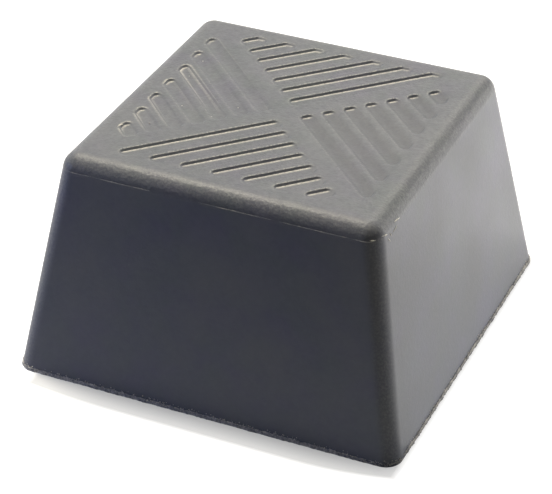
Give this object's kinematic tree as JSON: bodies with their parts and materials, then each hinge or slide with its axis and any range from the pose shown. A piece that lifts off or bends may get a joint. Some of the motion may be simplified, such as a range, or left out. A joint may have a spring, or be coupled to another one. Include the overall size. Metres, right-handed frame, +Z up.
{
  "type": "rubber foot",
  "caption": "Solid tapered rubber block foot with a square footprint and a grooved grip tread on its flat top face.",
  "frame": {"origin": "centre of the flat underside, on the surface the foot stands on", "axes": "+Z is up, from the wide underside to the grooved top face; +X and +Y are square to two neighbouring sides, which are alike, and the picture looks from the -Y and +X sides"},
  "size_m": [0.0756, 0.0756, 0.043],
  "materials": {
    "rubber": "dull moulded dark grey rubber"
  },
  "bodies": {
    "root": {"rubber_foot": "rubber"}
  },
  "joints": []
}
